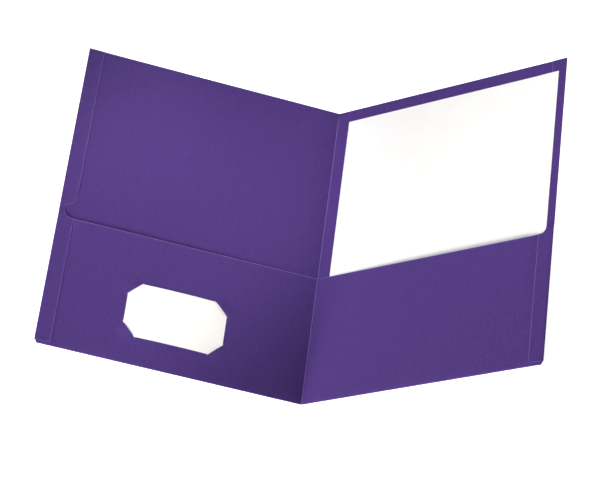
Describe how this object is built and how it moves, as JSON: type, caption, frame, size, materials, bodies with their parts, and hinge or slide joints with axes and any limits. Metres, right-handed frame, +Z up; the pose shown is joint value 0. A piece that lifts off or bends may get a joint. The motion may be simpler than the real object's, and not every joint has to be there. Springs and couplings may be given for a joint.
{
  "type": "two pocket folder",
  "caption": "Folder of embossed cover stock with inside pockets, notched side hems and card slits; the front cover folds about the spine and a loose sheet slides out of the back pocket.",
  "frame": {"origin": "middle of the spine, on the plane that the back cover's outer face lies on", "axes": "+X over the back cover away from the spine, +Y up along the spine to the top edge, +Z up from the table"},
  "size_m": [0.3841, 0.2928, 0.1837],
  "materials": {
    "cover_stock": "satin",
    "glue": "matte",
    "card_stock": "matte",
    "sheet_paper": "matte"
  },
  "bodies": {
    "back_cover": {"back_cover_panel": "cover_stock", "back_side_fold": "cover_stock", "back_lower_hem": "cover_stock", "back_hem_neck": "cover_stock", "back_upper_hem": "cover_stock", "back_hem_glue": "glue", "back_pocket_glue": "glue", "back_bottom_fold": "cover_stock", "back_pocket": "cover_stock", "spine_crease": "cover_stock", "pocket_crease": "cover_stock"},
    "front_cover": {"front_cover_panel": "cover_stock", "front_side_fold": "cover_stock", "front_lower_hem": "cover_stock", "front_hem_neck": "cover_stock", "front_upper_hem": "cover_stock", "front_hem_glue": "glue", "front_pocket_glue": "glue", "front_bottom_fold": "cover_stock", "front_pocket": "cover_stock", "business_card": "card_stock"},
    "loose_sheet": {"letter_sheet": "sheet_paper"}
  },
  "joints": [
    {"name": "spine_fold", "type": "hinge", "parent": "back_cover", "child": "front_cover", "pos_m": [0, 0, 0.0014], "axis": [0, 1, 0], "range_deg": [-50.9, 127.6]},
    {"name": "sheet_slide", "type": "slide", "parent": "back_cover", "child": "loose_sheet", "axis": [0, 1, 0], "range_m": [0, 0.125]}
  ]
}
